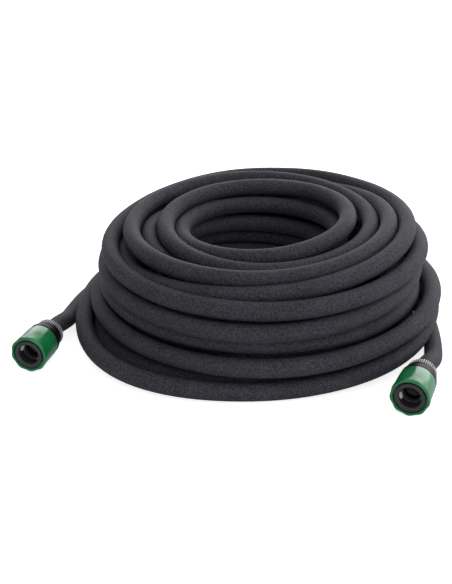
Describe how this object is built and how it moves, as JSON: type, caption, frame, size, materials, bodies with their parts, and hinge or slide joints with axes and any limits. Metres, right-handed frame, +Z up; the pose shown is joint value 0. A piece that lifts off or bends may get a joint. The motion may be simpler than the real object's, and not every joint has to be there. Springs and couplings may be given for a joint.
{
  "type": "soaker hose",
  "caption": "Coiled porous rubber soaker hose with a push-on connector on each end: release sleeve, sprung jaws, seal, and a nut with collet that clamps the hose.",
  "frame": {"origin": "centre of the whole object's box, on the floor", "axes": "+Z up, coil axis along Z; +X to the right and +Y away from the picture's camera"},
  "size_m": [0.4332, 0.4066, 0.12],
  "materials": {
    "porous_rubber": "matt, fine porous texture",
    "green_abs": "gloss moulded",
    "grey_abs": "satin moulded",
    "black_abs": "satin moulded",
    "grey_acetal": "smooth moulded",
    "spring_steel": "drawn wire",
    "seal_rubber": "smooth"
  },
  "bodies": {
    "hose": {"hose_coil": "porous_rubber", "left_hose_tail": "porous_rubber", "left_hose_end": "porous_rubber", "left_body": "grey_abs", "left_seal": "seal_rubber", "left_spring": "spring_steel", "right_hose_tail": "porous_rubber", "right_hose_end": "porous_rubber", "right_body": "grey_abs", "right_seal": "seal_rubber", "right_spring": "spring_steel"},
    "left_release": {"left_sleeve": "green_abs", "left_sleeve_ring": "black_abs"},
    "left_claw_a": {"left_jaw_a": "grey_acetal"},
    "left_claw_b": {"left_jaw_b": "grey_acetal"},
    "left_grip": {"left_collet": "grey_acetal"},
    "left_clamp_nut": {"left_nut": "black_abs"},
    "right_release": {"right_sleeve": "green_abs", "right_sleeve_ring": "black_abs"},
    "right_claw_a": {"right_jaw_a": "grey_acetal"},
    "right_claw_b": {"right_jaw_b": "grey_acetal"},
    "right_grip": {"right_collet": "grey_acetal"},
    "right_clamp_nut": {"right_nut": "black_abs"}
  },
  "joints": [
    {"name": "left_sleeve_slide", "type": "slide", "parent": "hose", "child": "left_release", "axis": [0.2588, 0.9659, 0], "range_m": [0, 0.006], "stiffness_N_per_m": 600, "springref_m": -0.01, "deforming": ["left_spring"]},
    {"name": "left_jaw_a_slide", "type": "slide", "parent": "hose", "child": "left_claw_a", "axis": [-0.8696, 0.233, 0.4352], "range_m": [0, 0.0014]},
    {"name": "left_jaw_b_slide", "type": "slide", "parent": "hose", "child": "left_claw_b", "axis": [0.8696, -0.233, -0.4352], "range_m": [0, 0.0014]},
    {"name": "left_collet_slide", "type": "slide", "parent": "hose", "child": "left_grip", "axis": [0.2588, 0.9659, 0], "range_m": [0, 0.006]},
    {"name": "left_nut_turn", "type": "hinge", "parent": "left_grip", "child": "left_clamp_nut", "pos_m": [-0.18778, -0.07203, 0.0188], "axis": [0.2588, 0.9659, 0], "range_deg": [0, 540]},
    {"name": "right_sleeve_slide", "type": "slide", "parent": "hose", "child": "right_release", "axis": [0.3907, 0.9205, 0], "range_m": [0, 0.006], "stiffness_N_per_m": 600, "springref_m": -0.01, "deforming": ["right_spring"]},
    {"name": "right_jaw_a_slide", "type": "slide", "parent": "hose", "child": "right_claw_a", "axis": [-0.9042, 0.3838, -0.1874], "range_m": [0, 0.0014]},
    {"name": "right_jaw_b_slide", "type": "slide", "parent": "hose", "child": "right_claw_b", "axis": [0.9042, -0.3838, 0.1874], "range_m": [0, 0.0014]},
    {"name": "right_collet_slide", "type": "slide", "parent": "hose", "child": "right_grip", "axis": [0.3907, 0.9205, 0], "range_m": [0, 0.006]},
    {"name": "right_nut_turn", "type": "hinge", "parent": "right_grip", "child": "right_clamp_nut", "pos_m": [0.17364, -0.15488, 0.0188], "axis": [0.3907, 0.9205, 0], "range_deg": [0, 540]}
  ],
  "couplings": [
    {"joint": "left_jaw_a_slide", "follows": "left_sleeve_slide", "ratio": 0.2333},
    {"joint": "left_jaw_b_slide", "follows": "left_sleeve_slide", "ratio": 0.2333},
    {"joint": "left_nut_turn", "follows": "left_collet_slide", "rad_per_m": 1570.8},
    {"joint": "right_jaw_a_slide", "follows": "right_sleeve_slide", "ratio": 0.2333},
    {"joint": "right_jaw_b_slide", "follows": "right_sleeve_slide", "ratio": 0.2333},
    {"joint": "right_nut_turn", "follows": "right_collet_slide", "rad_per_m": 1570.8}
  ]
}
